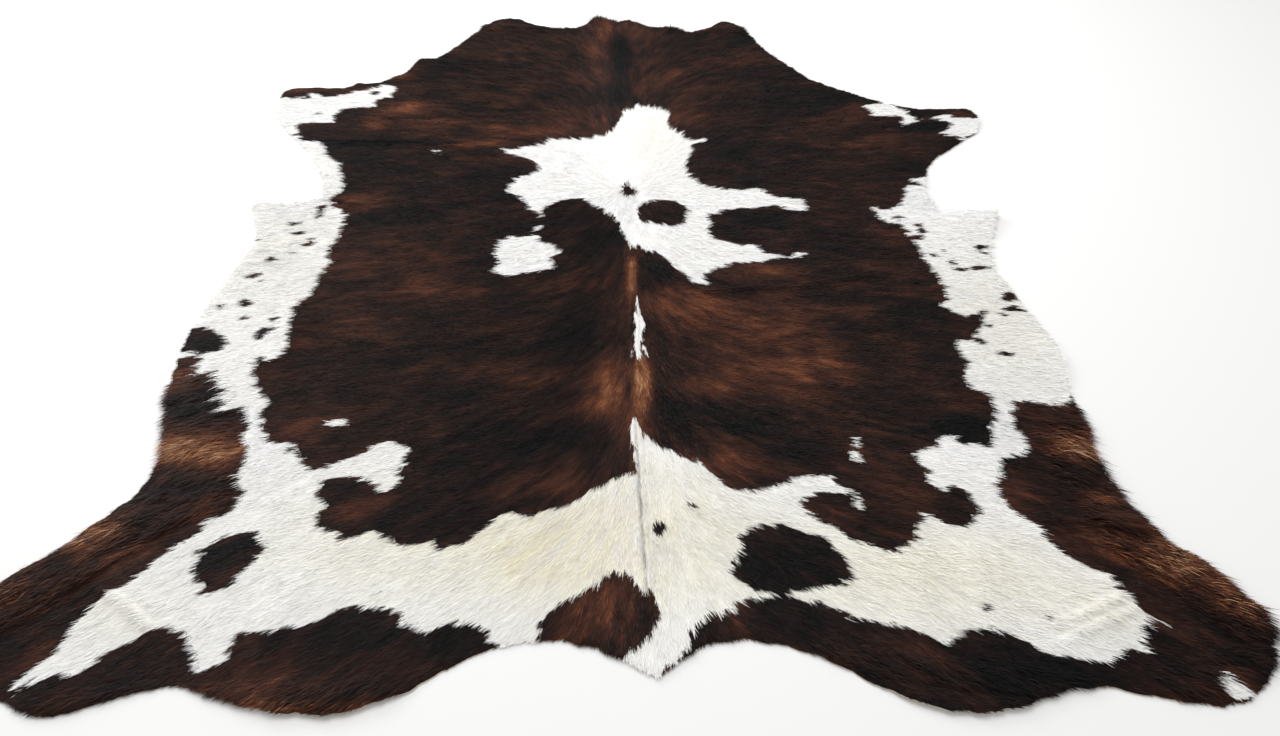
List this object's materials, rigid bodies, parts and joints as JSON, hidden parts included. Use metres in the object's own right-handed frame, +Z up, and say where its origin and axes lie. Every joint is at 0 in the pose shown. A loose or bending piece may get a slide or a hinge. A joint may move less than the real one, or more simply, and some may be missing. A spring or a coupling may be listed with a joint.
{
  "type": "cowhide rug",
  "caption": "Whole cowhide rug, hair side up, with neck, four short shanks and a scalloped rump edge, lying flat with soft folds.",
  "frame": {"origin": "middle of the hide's bounding box, on the floor under it", "axes": "+Z up through the hide, hair side up; +Y along the backbone towards the neck; +X to the hide's right as it lies with the neck away from the viewer"},
  "size_m": [2.1694, 2.3186, 0.0181],
  "materials": {
    "coat": "short lying hair, dark brindle with white patches; suede underside"
  },
  "bodies": {
    "root": {"hide": "coat"}
  },
  "joints": []
}
